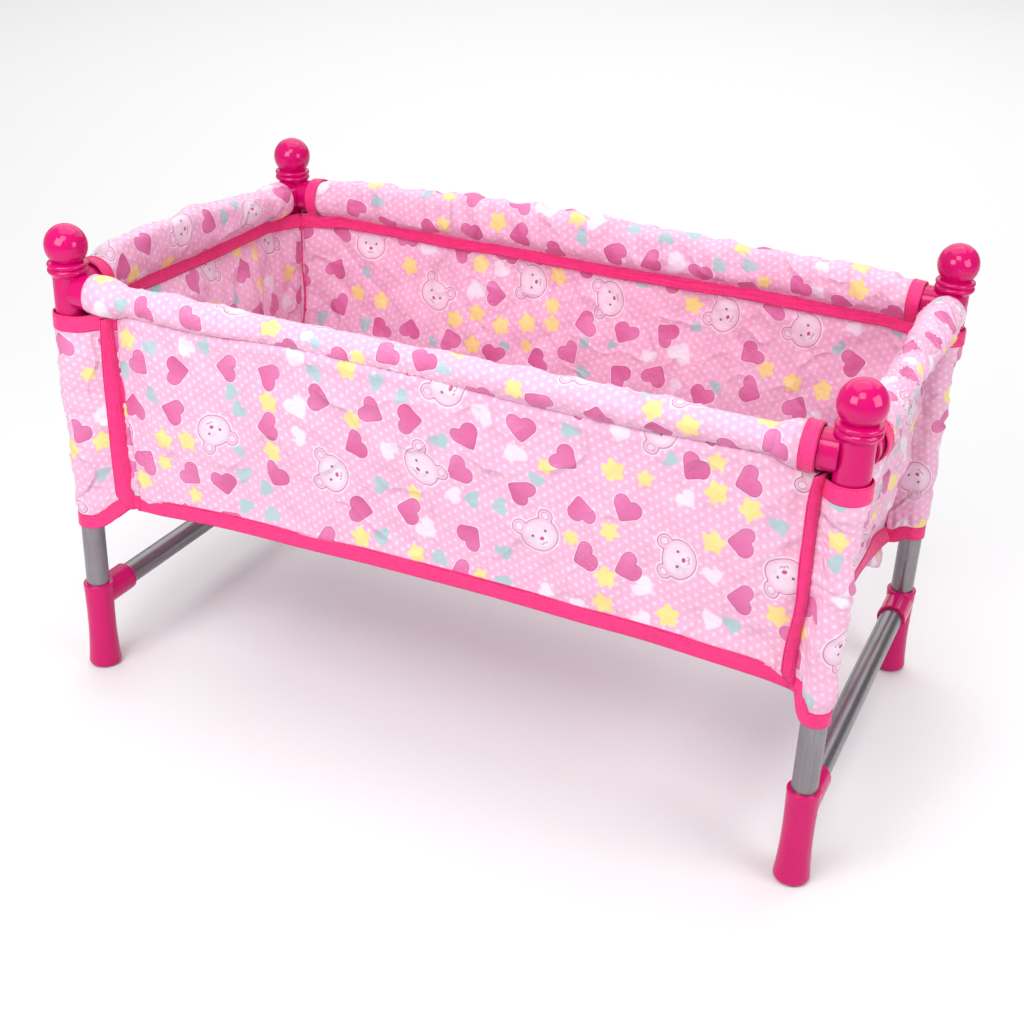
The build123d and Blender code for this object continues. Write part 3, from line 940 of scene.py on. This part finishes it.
def panel(side):
    """Printed panel from its bound hem up to the rail sleeve's outer seam."""
    up = np.linspace(0, 1, 76)[:, None]
    level = HEM_TOP - TAPE + (RAIL_Z - MOUTH_R - HEM_TOP + TAPE) * up
    (start, out_start), (end, out_end) = seams(side, level)
    cols = int(np.max(end - start) / 1.9)
    along = start + (end - start) * np.linspace(0, 1, cols)[None, :]
    low, low_out = hem_line(side, along)
    raised = seam_raise(side, along)
    high = RAIL_Z - sleeve_radius(side, along) - 1.3 + raised
    height = low + (high - low) * up
    top_out = (-1.2 if is_end(side) else 1.2) + 1.05 * raised
    out = low_out + (top_out - low_out) * (up**1.1 if is_end(side) else smooth(up * 1.05))
    near_start, near_end = smooth((along - start) / 26), smooth((end - along) / 26)
    out = out_start + (out - out_start) * near_start
    out = out_end + (out - out_end) * near_end

    # rounded waves, folds that slant and hang, and close puckers next to every row of stitches
    seed = PANEL_SEED[side]
    edge = smooth((along - start - 1) / 12) * smooth((end - along - 1) / 12)
    below, above = height - low - TAPE / 2 - 0.3, high - height
    free = edge * smooth(below / 14) * smooth((above - 5) / 20)
    slow = 1.3 * waves(along, height, 120, seed) + 0.5 * waves(along, height, 46, seed + 1)
    drag = 0.6 * folds(along, height, 58, seed + 5, 0.8, 0.35)
    drag = drag + 0.4 * folds(along, height, 37, seed + 6, -0.75, 0.35)
    upright = 0.5 * folds(along, height * 0.3, 26, seed + 9, 0.0, 0.2)
    upright = upright * (0.35 + 0.65 * np.exp(-above / 35))
    pucker = 0.6 * folds(along, height * 0.25, 8.0, seed + 7, 0.0, 0.12)
    pucker = pucker * np.exp(-above / 8.0) * (1 + 0.2 * raised)
    hem_pucker = 0.6 * folds(along, height * 0.25, 10.0, seed + 8, 0.0, 0.12)
    hem_pucker = hem_pucker * np.exp(-np.abs(below) / 11.0) * smooth(below / 4)
    from_seam = np.minimum(along - start, end - along)
    side_pucker = 0.5 * folds(along * 0.25, height, 11.0, seed + 10, pi / 2, 0.15)
    side_pucker = side_pucker * np.exp(-from_seam / 9.0)
    out = out + FOLD_DEPTH[side] * free * (slow + drag + upright) + edge * (pucker + hem_pucker)
    out = out + side_pucker * smooth((from_seam - 1.5) / 6) * smooth(below / 8) * smooth(above / 8)
    if side == "front":
        out = out + edge * (1.8 * bell(above, 5, 4) - 1.2 * bell(above, 0, 2))
    over_tape = np.clip(height - low - TAPE / 2, 0, None)
    flare = np.tan(hem_flare(side, along)) * np.minimum(height - low, TAPE / 2)
    out = out - flare * bell(over_tape, 0, 13)
    points = place(side, along, out, height)
    flat = np.stack(np.broadcast_arrays(along, HEM_TOP + (PANEL_TOP - HEM_TOP) * up), axis=-1)
    return points, flat + np.array(PATTERN_SHIFT[side])


def hull(circles):
    """Outline round several circles, as (centre, radius), counter-clockwise."""
    turns = np.linspace(0, 2 * pi, 96, endpoint=False)
    ring = np.stack([np.cos(turns), np.sin(turns)], axis=1)
    cloud = np.concatenate([centre + radius * ring for centre, radius in circles])
    cloud = cloud[np.lexsort((cloud[:, 1], cloud[:, 0]))]

    def half_hull(points):
        chain = []
        for p in points:
            while len(chain) > 1:
                a, b = chain[-2], chain[-1]
                if (b[0] - a[0]) * (p[1] - a[1]) - (b[1] - a[1]) * (p[0] - a[0]) > 1e-9:
                    break
                chain.pop()
            chain.append(p)
        return chain[:-1]

    return np.array(half_hull(cloud) + half_hull(cloud[::-1]))


def post_loop(corner, radius, slack, height=0.0):
    """Evenly spaced loop round a post and out to its seam, starting at the seam, and its length."""
    axis = post_axis(corner)
    seam = corner_seam(corner, height)
    away = unit(axis - seam)
    loop = hull([(axis, radius), (axis + away * slack, radius * 0.92), (seam - 1.2 * away, 1.2)])
    first = np.argmin(np.linalg.norm(loop - (seam - 3 * away), axis=1))
    loop = looped(np.roll(loop, -first, axis=0))
    lengths = lengths_along(loop)
    at = np.linspace(0, lengths[-1], LOOP_POINTS, endpoint=False)
    return point_at(at, lengths, loop), lengths[-1]


def edge_height(corner, loop):
    """Height of a post sleeve's bound lower edge: low round the leg, rising to the seam."""
    axis = post_axis(corner)
    to_seam = corner_seam(corner) - axis
    reach = np.linalg.norm(to_seam)
    along = (loop - axis) @ (to_seam / reach)
    share = smooth((along - 5.0) / max(reach - 7.0, 5.0))
    arch = 1.8 * bell(along - reach, -2, 7) if corner == "front_left" else 0
    return LEG_HEM[corner] + (SEAM_HEM[corner] - LEG_HEM[corner]) * share + arch


def post_sleeve(corner):
    """Cloth round a post, drawn out to its seam, and gathered into the band round the leg."""
    seed = 70 + CORNER_SEED[corner]
    axis = post_axis(corner)
    low_loop, _ = post_loop(corner, TUBE_R + BAND / 2, 0.0)
    full_loop, full = post_loop(corner, SLEEVE_R[corner], SLEEVE_SLACK[corner], BAND_LOW)
    top_loop, _ = post_loop(corner, BARREL_R + BAND / 2, SLEEVE_SLACK[corner] * 0.25, BAND_LOW)
    v = np.linspace(0, 1, 110)[:, None]
    low = edge_height(corner, low_loop)[None, :]
    high = BAND_LOW + 4.0
    z = low + (high - low) * v
    from_edge = z - low - TAPE / 2
    from_top = BAND_LOW - z
    open_up = smooth((from_edge + 3) / SLEEVE_OPENS[corner])
    close_up = smooth((from_top + 3) / 17)
    loop = low_loop + (full_loop - low_loop) * open_up[..., None]
    loop = top_loop + (loop - top_loop) * close_up[..., None]
    round_it = np.linspace(0, 1, LOOP_POINTS, endpoint=False)[None, :]
    tangent = unit(np.roll(loop, -1, axis=1) - np.roll(loop, 1, axis=1))
    outward = np.stack([tangent[..., 1], -tangent[..., 0]], axis=-1)
    u = (round_it - 0.5) * full
    held = smooth(from_edge / 8) * smooth(from_top / 8)
    from_seam = np.minimum(round_it, 1 - round_it) * full
    gather = np.exp(-np.abs(from_edge) / 9.0) * smooth(from_edge / 3)
    pleats = 0.8 * np.sin(2 * pi * 13 * round_it + 2.2 * waves(u, z, 30, seed)) * gather
    bulge = 0.9 * bell(from_edge, 6, 6)
    soft = 0.8 * waves(u, z, 44, seed + 1) + 0.4 * folds(u, z, 26, seed + 2, 1.2, 0.4)
    if corner == "front_right":
        # this sleeve is pushed together into one sharp fold between two rolls
        soft = soft - 1.2 * bell(z, 219, 9) + 1.0 * bell(z, 178, 16)
        level = z - 203 - 2.0 * np.sin(2 * pi * round_it + 1.0)
        soft = soft + 1.3 * bell(level, 4, 3.0) + 1.1 * bell(level, -4, 3.0)
        soft = soft - 1.6 * bell(level, 0, 1.4)
    rng = np.random.default_rng(seed)
    lines = 0
    for share in (0.14, 0.33, 0.52, 0.71, 0.88):
        level = RING_Z + 8 + share * (high - RING_Z - 14) + rng.uniform(-5, 5)
        tilt = rng.uniform(-5, 5)
        where = 0.5 + 0.5 * np.cos(2 * pi * (round_it - rng.uniform(0, 1)))
        fold = crease(z - level - tilt * np.sin(2 * pi * round_it), 2.2)
        lines = lines - fold * where * rng.uniform(0.8, 1.8)
    side_pucker = 0.35 * np.sin(2 * pi * z / 7.0 + 2 * waves(u, z, 25, seed + 6)) * np.exp(-from_seam / 6)
    push = held * (soft + lines) * smooth(from_seam / 8) + pleats + bulge * held + held * side_pucker
    top_pleats = 0.35 * np.sin(2 * pi * 11 * round_it + 1.0)
    top_pleats = top_pleats * np.exp(-np.abs(from_top) / 9.0) * smooth(from_top / 3)
    points = loop + outward * (push + top_pleats)[..., None]
    from_axis = points - axis
    reach = np.linalg.norm(from_axis, axis=-1, keepdims=True)
    barrel = smooth((z[..., None] - BAND_LOW + 14) / 5)
    least = (TUBE_R + 0.5) + (BARREL_R - TUBE_R) * barrel
    points = axis + from_axis / reach * np.maximum(reach, least)
    grid = np.concatenate([points, z[..., None]], axis=-1)
    around = np.linspace(-0.5, 0.5, LOOP_POINTS + 1)[None, :] * full
    flat = np.stack(np.broadcast_arrays(around, RING_Z + (high - RING_Z) * v), axis=-1)
    return grid, flat + seed * np.array(POST_SHIFT)


def edge_band(name, loop, height, width):
    """Tape folded over a post sleeve's end, along a loop round the post."""
    path = np.concatenate([loop, height[:, None]], axis=1)
    way = along_path(path, closed=True)
    outward = unit(np.stack([way[:, 1], -way[:, 0], 0 * way[:, 0]], axis=1))
    across = upward(outward, way)
    sew(path + across * (width / 2 - 1.7) + outward * BAND * 0.45, outward, closed=True)
    return sweep(name, path, across, outward, tape_section(width, BAND, 0.5), closed=True)


def leg_band(corner):
    """Tape along a post sleeve's lower edge: a ring round the leg that sweeps up to the seam."""
    loop, _ = post_loop(corner, TUBE_R + BAND / 2 + 0.05, 0.0)
    return edge_band(f"bound_lower_edge_{corner}", loop, edge_height(corner, loop), TAPE - 0.6)


def top_band(corner):
    """Tape along a post sleeve's upper edge, round the connector's barrel."""
    loop, _ = post_loop(corner, BARREL_R + BAND / 2 + 0.05, SLEEVE_SLACK[corner] * 0.25, BAND_LOW)
    sx, sy = CORNERS[corner]
    start = 260 + 3 * sx + sy
    height = np.full(len(loop), (BAND_LOW + BAND_TOP) / 2)
    height = height + 0.5 * np.sin(np.linspace(0, 2 * pi, len(loop), endpoint=False) + start)
    if corner == "front_left":
        height = height + 4.0 * smooth((loop[:, 0] * -sx + POST_X - 8) / 22)
    return edge_band(f"bound_upper_edge_{corner}", loop, height, TAPE)


def hem_binding(side):
    """Tape folded over a panel's hem, from seam to seam."""
    (start, _), (end, _) = seams(side)
    along = np.linspace(start, end, int((end - start) / 2.4))
    height, out = hem_line(side, along)
    path = place(side, along, out, height)
    way = along_path(path)
    outward = direction(side, 0, 1, 0) + 0 * path
    lean = np.tan(hem_flare(side, along)) + 0.05 * waves(along, 0, 90, 301 + SIDE_SEED[side])
    outward = outward + lean[:, None] * upward(outward, way)
    outward = unit(outward - way * np.sum(outward * way, axis=1, keepdims=True))
    up = upward(outward, way)
    thick = 1.7
    piece = sweep(f"bound_hem_{side}", path, up, outward, tape_section(TAPE + 0.8, thick))
    for face in (1, -1):
        sew(path + up * (TAPE / 2 - 1.5) + outward * face * thick * 0.48, outward * face)
    return piece


def rail_end_band(name, side, end):
    """Tape round the mouth of a rail sleeve, drawn in a little at its outer edge."""
    half = SIDES[side][3]
    turn = np.linspace(0, 2 * pi, 80, endpoint=False)
    lean = 0.9 * np.cos(turn - 0.6)
    swell = 0.35 * waves(np.cos(turn) * 20, np.sin(turn) * 20, 30, 141 + end)
    width = TAPE - 1.6
    along = end * (half - SLEEVE_START - width / 2 + 0.3 + 0.5 * lean)
    radius = MOUTH_R + 0.9 + swell
    path = place(side, along, radius * np.cos(turn), RAIL_Z + radius * np.sin(turn))
    outward = unit(path - place(side, along, 0, RAIL_Z))
    across = unit(direction(side, -end, 0, 0) + 0.1 * outward)
    outward = unit(outward - across * np.sum(outward * across, axis=1, keepdims=True))
    sew(path + across * (width / 2 - 1.6) + outward * 0.6, outward, closed=True)
    return sweep(name, path, across, outward, tape_section(width, 1.3), closed=True)


def channel_binding(side):
    """Tape over the inner hem of a rail sleeve, sewn down along both edges."""
    half = SIDES[side][3]
    (start, out_start), (end, out_end) = seams(side, RAIL_Z)
    along = np.linspace(start + 1.5, end - 1.5, int(half / 0.8))
    under = RAIL_Z - sleeve_radius(side, along) - 0.2
    sag = waves(along, 0, 70, 110 + SIDE_SEED[side])
    clear = 1.3
    inward, slope = CHANNEL_LIE[side]
    out = 0.3 * sag - inward
    out = out_start - clear + (out - out_start + clear) * smooth((along - start) / 26)
    out = out_end - clear + (out - out_end + clear) * smooth((end - along) / 26)
    path = place(side, along, out, under - TAPE / 2 + 1.2 + 0.35 * sag)
    way = along_path(path)
    up = unit(np.array([0, 0, 1.0]) + direction(side, 0, slope, 0)) + 0 * path
    outward = unit(np.cross(way, up))
    outward = outward * np.sign(outward @ direction(side, 0, -1, 0))[:, None]
    thick = 1.3
    section = tape_section(TAPE, thick, 0.0)
    piece = sweep(f"bound_channel_{side}", path, up, outward, section)
    for edge in (1, -1):
        sew(path + up * edge * (TAPE / 2 - 1.5) + outward * thick * 0.46, outward)
    return piece


def seam_binding(corner):
    """Bound seam that stands out from a long panel, leaning over, with a crease along it."""
    side = "front" if "front" in corner else "back"
    sign = -1 if SIDES[side][4] == corner else 1
    lean_low, lean_high = SEAM_LEAN[corner]
    low = SEAM_HEM[corner] - TAPE * (0.35 if corner == "front_left" else 0.1)
    height = np.linspace(low, RAIL_Z - MOUTH_R + 0.5, 60)
    share = (height - height[0]) / (height[-1] - height[0])
    seed = 120 + CORNER_SEED[corner]
    tilt = radians(lean_low) + radians(lean_high - lean_low) * share + 0.14 * waves(height, 0, 60, seed)
    bend = 0.55 if lean_low > 0 else -0.5
    sideways = 0.6 * waves(height, 0, 80, seed + 1) * np.sin(pi * share)
    out = direction(side, 0, 1, 0)
    way = direction(side, 1, 0, 0)
    path = seam_path(corner, height) + sideways[:, None] * way
    fuller = 1.25 - 0.25 * share if corner == "front_left" else 1 + 0 * share
    width = FLANGE * fuller * (0.5 + 0.5 * smooth(share / 0.09))
    sections = []
    for lay, wide in zip(tilt, width):
        stem = np.array([cos(lay), sign * sin(lay)])
        bent = np.array([cos(lay + bend), sign * sin(lay + bend)])
        root = np.linspace(0, 1, 5)[:, None] * stem * (wide * 0.52)
        tip = root[-1] + np.linspace(0, 1, 5)[1:, None] * bent * (wide * 0.48)
        sections.append(strip_section(np.concatenate([root, tip]), 1.6))
    piece = sweep(f"bound_seam_{corner}", path, out, way, np.array(sections))
    stems = np.stack([np.cos(tilt), sign * np.sin(tilt)], axis=1)
    mid = path + (stems[:, :1] * out + stems[:, 1:] * way) * FLANGE * 0.42
    face = (-sign if lean_low > 0 else sign) * (stems[:, :1] * way - stems[:, 1:] * out)
    sew(mid + face * 0.78, face)
    return piece


def inner_seam(corner):
    """Edge of the seam's tape, which shows inside the crib as a thin wavy line."""
    sx, sy = CORNERS[corner]
    low = SEAM_HEM[corner] + 2
    height = np.linspace(low, BAND_LOW + 3, 60)
    share = (height - low) / (height[-1] - low)
    seed = 130 + CORNER_SEED[corner]
    inward = unit(np.array([-0.55 * sx, -0.83 * sy, 0.0]))
    aside = np.array([-inward[1], inward[0], 0.0])
    wander = 1.3 * waves(height, 0, 45, seed) * np.sin(pi * share)
    path = seam_path(corner, height) + wander[:, None] * aside
    strip = strip_section(np.stack([np.linspace(-1, 2.6, 5), np.zeros(5)], axis=1), 1.5)
    return sweep(f"inner_seam_{corner}", path, inward, aside, strip)


def floor_sheet():
    """Printed floor: it sags softly from the hems, with a pouch at each end and one loose bag."""
    u = np.linspace(-1, 1, 240)[None, :]
    v = np.linspace(-1, 1, 130)[:, None]
    x, y = u * (POST_X - 16) + 0 * v, v * (POST_Y - 6) + 0 * u
    edge_z, side_out = {}, {}
    for _ in range(4):
        for side, at in (("front", x), ("back", -x), ("right", y), ("left", -y)):
            edge_z[side], side_out[side] = hem_line(side, at)
        right, left = POST_X + side_out["right"], -POST_X - side_out["left"]
        back, front = POST_Y + side_out["back"], -POST_Y - side_out["front"]
        x = left + (right - left) * (u + 1) / 2
        y = front + (back - front) * (v + 1) / 2
    near = {"front": 1 + v, "back": 1 - v, "right": 1 - u, "left": 1 + u}
    weight = {side: 1 / (gap + 1e-4) ** 2 for side, gap in near.items()}
    edge = sum(weight[side] * edge_z[side] for side in weight) / sum(weight.values()) - 1.5
    belly = (1 - np.abs(u) ** 5) * (1 - np.abs(v) ** 2.6)
    pouch = bell(np.abs(u), 0.9, 0.09) * (1 - np.abs(v) ** 4)
    rim = smooth((1 - np.abs(u)) / 0.025) * smooth((1 - np.abs(v)) / 0.04)
    depth = (FLOOR_EDGE - FLOOR_LOW - 1.0) * belly + 9.0 * pouch
    soft = 1.4 * waves(x, y, 95, 132) + 0.9 * folds(x, y, 52, 131, None) + 0.4 * waves(x, y, 24, 134)
    tuck = np.exp(-((1 - np.abs(u)) * 7 + (1 - np.abs(v)) * 4))
    gathers = 1.5 * folds(x, y, 15, 133, 0.8, 0.8) * tuck
    end_gather = 0.7 * folds(x * 0.3, y, 9, 135, pi / 2, 0.1) * np.exp(-(1 - np.abs(u)) * 14)

    # the cloth bags out under the right hem, near the back post
    inside_end = 1 - u
    bag = bell(y, 88, 27) * smooth(inside_end / 0.02) * bell(inside_end, 0.026, 0.03)
    x = x + 11.0 * bag
    height = edge - rim * (depth - soft - gathers - end_gather) - 14.0 * bag
    points = np.stack(np.broadcast_arrays(x, y, height), axis=-1)
    return points, np.stack(np.broadcast_arrays(x, y), axis=-1) + FLOOR_SHIFT


def make_body():
    """Builds every sewn piece, under the name of the CAD node that it stands for."""
    pieces = {}
    for side in SIDES:
        pieces[f"panel_{side}"] = [cloth_piece(f"printed_panel_{side}", *panel(side))]
        pieces[f"rail_sleeve_{side}"] = [cloth_piece(f"printed_rail_sleeve_{side}", *rail_sleeve(side))]
        pieces[f"hem_binding_{side}"] = [hem_binding(side)]
        pieces[f"channel_binding_{side}"] = [channel_binding(side)]
        ends = {-1: SIDES[side][4], 1: SIDES[side][5]}
        pieces[f"rail_end_band_{side}"] = [
            rail_end_band(f"end_band_{side}_{ends[end]}", side, end) for end in END_BANDS[side]
        ]
    for corner in CORNERS:
        sleeve = cloth_piece(f"printed_post_sleeve_{corner}", *post_sleeve(corner), wrap=True)
        pieces[f"post_sleeve_{corner}"] = [sleeve]
        pieces[f"leg_ring_{corner}"] = [leg_band(corner)]
        pieces[f"post_top_band_{corner}"] = [top_band(corner)]
        pieces[f"seam_binding_{corner}"] = [seam_binding(corner), inner_seam(corner)]
    pieces["floor_panel"] = [cloth_piece("printed_floor", *floor_sheet())]
    return pieces


def cut_size(piece):
    """Width and length of a piece's flat pattern, in metres."""
    flat = piece.data.uv_layers["flat"].data
    places = np.zeros(2 * len(flat))
    flat.foreach_get("uv", places)
    return tuple(float(n) * MM for n in np.ptp(places.reshape(-1, 2), axis=0))


def declare(pieces):
    """Sets each sewn piece to ride on the crib and hides the CAD node that it stands for. Each sheet's
    bound tapes and cut size are looked up here but not used.
    """
    for node, made in pieces.items():
        for piece in made:
            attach(piece, "crib")
            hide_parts(node)

    for side in SIDES:
        [sheet] = pieces[f"panel_{side}"]
        bound = pieces[f"hem_binding_{side}"] + pieces[f"channel_binding_{side}"]
        if not is_end(side):
            for corner in SIDES[side][4:]:
                bound = bound + pieces[f"seam_binding_{corner}"]
        cut_size(sheet)
        [sleeve] = pieces[f"rail_sleeve_{side}"]
        bound = pieces[f"rail_end_band_{side}"]
        cut_size(sleeve)
    for corner in CORNERS:
        [sleeve] = pieces[f"post_sleeve_{corner}"]
        bound = pieces[f"leg_ring_{corner}"] + pieces[f"post_top_band_{corner}"]
        cut_size(sleeve)
    [floor] = pieces["floor_panel"]
    cut_size(floor)


body_pieces = make_body()
stitching = stitch_mesh()
declare(body_pieces)
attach(stitching, "crib")

# ---- finishes of the CAD pieces ------------------------------------------------------


def finish_frame():
    """Gives each shown CAD piece its material, along its own grain."""
    for name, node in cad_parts.items():
        if name.startswith("leg_tube"):
            material = STEEL["z"]
        elif name.startswith("cross_tube") or name in ("top_rail_left", "top_rail_right"):
            material = STEEL["y"]
        elif name.startswith("top_rail"):
            material = STEEL["x"]
        elif name.startswith(("foot", "corner_connector", "ball_finial")):
            material = PLASTIC
        else:
            continue
        for holder in node.material_slots:
            holder.link = "OBJECT"
            holder.material = material


finish_frame()

# ---- studio --------------------------------------------------------------------------


def make_floor():
    reach, below = 6000.0, -0.3
    square = [(0, 0), (1, 0), (1, 1), (0, 1)]
    corners = [((2 * x - 1) * reach, (2 * y - 1) * reach, below) for x, y in square]
    floor = new_object("studio_floor", corners, [(0, 1, 2, 3)], square, floor_material())


def soft_box(name, position, width, height, power, aim=(0, 0, 180)):
    """A rectangular area light, aimed at the middle of the crib unless told otherwise."""
    position = np.array(position, float)
    back = unit(position - aim)
    lamp = bpy.data.lights.new(name, "AREA")
    lamp.shape = "RECTANGLE"
    lamp.size = width * MM
    lamp.size_y = height * MM
    lamp.energy = power
    holder = bpy.data.objects.new(name, lamp)
    scene.collection.objects.link(holder)
    holder.matrix_world = look_matrix(position, back, 0)


def look_matrix(position, back, roll):
    """Matrix of a camera or lamp at a position, with back pointing away from what it looks at."""
    right = unit(np.cross([0, 0, 1.0], back))
    up = np.cross(back, right)
    c, s = cos(roll), sin(roll)
    right, up = c * right + s * up, c * up - s * right
    matrix = Matrix.Identity(4)
    for row in range(3):
        for column, axis in enumerate((right, up, back)):
            matrix[row][column] = axis[row]
        matrix[row][3] = position[row] * MM
    return matrix


def make_sky(bright, dim):
    """Even studio light that fades towards the back right."""
    world = bpy.data.worlds.new("studio")
    scene.world = world
    world.use_nodes = True
    tree = world.node_tree
    background = tree.nodes["Background"]
    where = tree.nodes.new("ShaderNodeTexCoord")
    blend = tree.nodes.new("ShaderNodeVectorMath")
    blend.operation = "DOT_PRODUCT"
    blend.inputs[1].default_value = (-0.72, -0.45, 0.53)
    tree.links.new(where.outputs["Generated"], blend.inputs[0])
    ramp = tree.nodes.new("ShaderNodeMapRange")
    ramp.inputs["From Min"].default_value = -0.6
    ramp.inputs["From Max"].default_value = 0.7
    ramp.inputs["To Min"].default_value = dim
    ramp.inputs["To Max"].default_value = bright
    tree.links.new(blend.outputs["Value"], ramp.inputs["Value"])
    tree.links.new(ramp.outputs[0], background.inputs["Strength"])
    background.inputs["Color"].default_value = (1, 1, 1, 1)


def make_camera():
    """The camera, in front and to the right of the crib, above it, and looking back at it."""
    azimuth, elevation, roll = radians(23.75), radians(27.06), radians(2.42)
    back = np.array([sin(azimuth) * cos(elevation), -cos(azimuth) * cos(elevation), sin(elevation)])
    camera = bpy.data.cameras.new("camera")
    camera.lens = 54.24
    camera.sensor_width = 36.0
    holder = bpy.data.objects.new("camera", camera)
    scene.collection.objects.link(holder)
    holder.matrix_world = look_matrix(np.array([394.1, -891.0, 623.9]), back, roll)
    scene.camera = holder


make_floor()
make_sky(0.44, 0.24)
soft_box("key", (-260, -874, 720), 560, 480, 6.2)
soft_box("fill_right", (800, -200, 540), 400, 400, 2.7)
soft_box("high_front", (250, -1300, 1900), 900, 900, 15)
soft_box("overhead", (-300, 500, 2600), 2600, 2200, 32)
soft_box("far_floor", (-900, 2700, 1500), 4500, 4000, 62, aim=(-900, 2500, 0))
make_camera()
scene.view_settings.view_transform = "Standard"
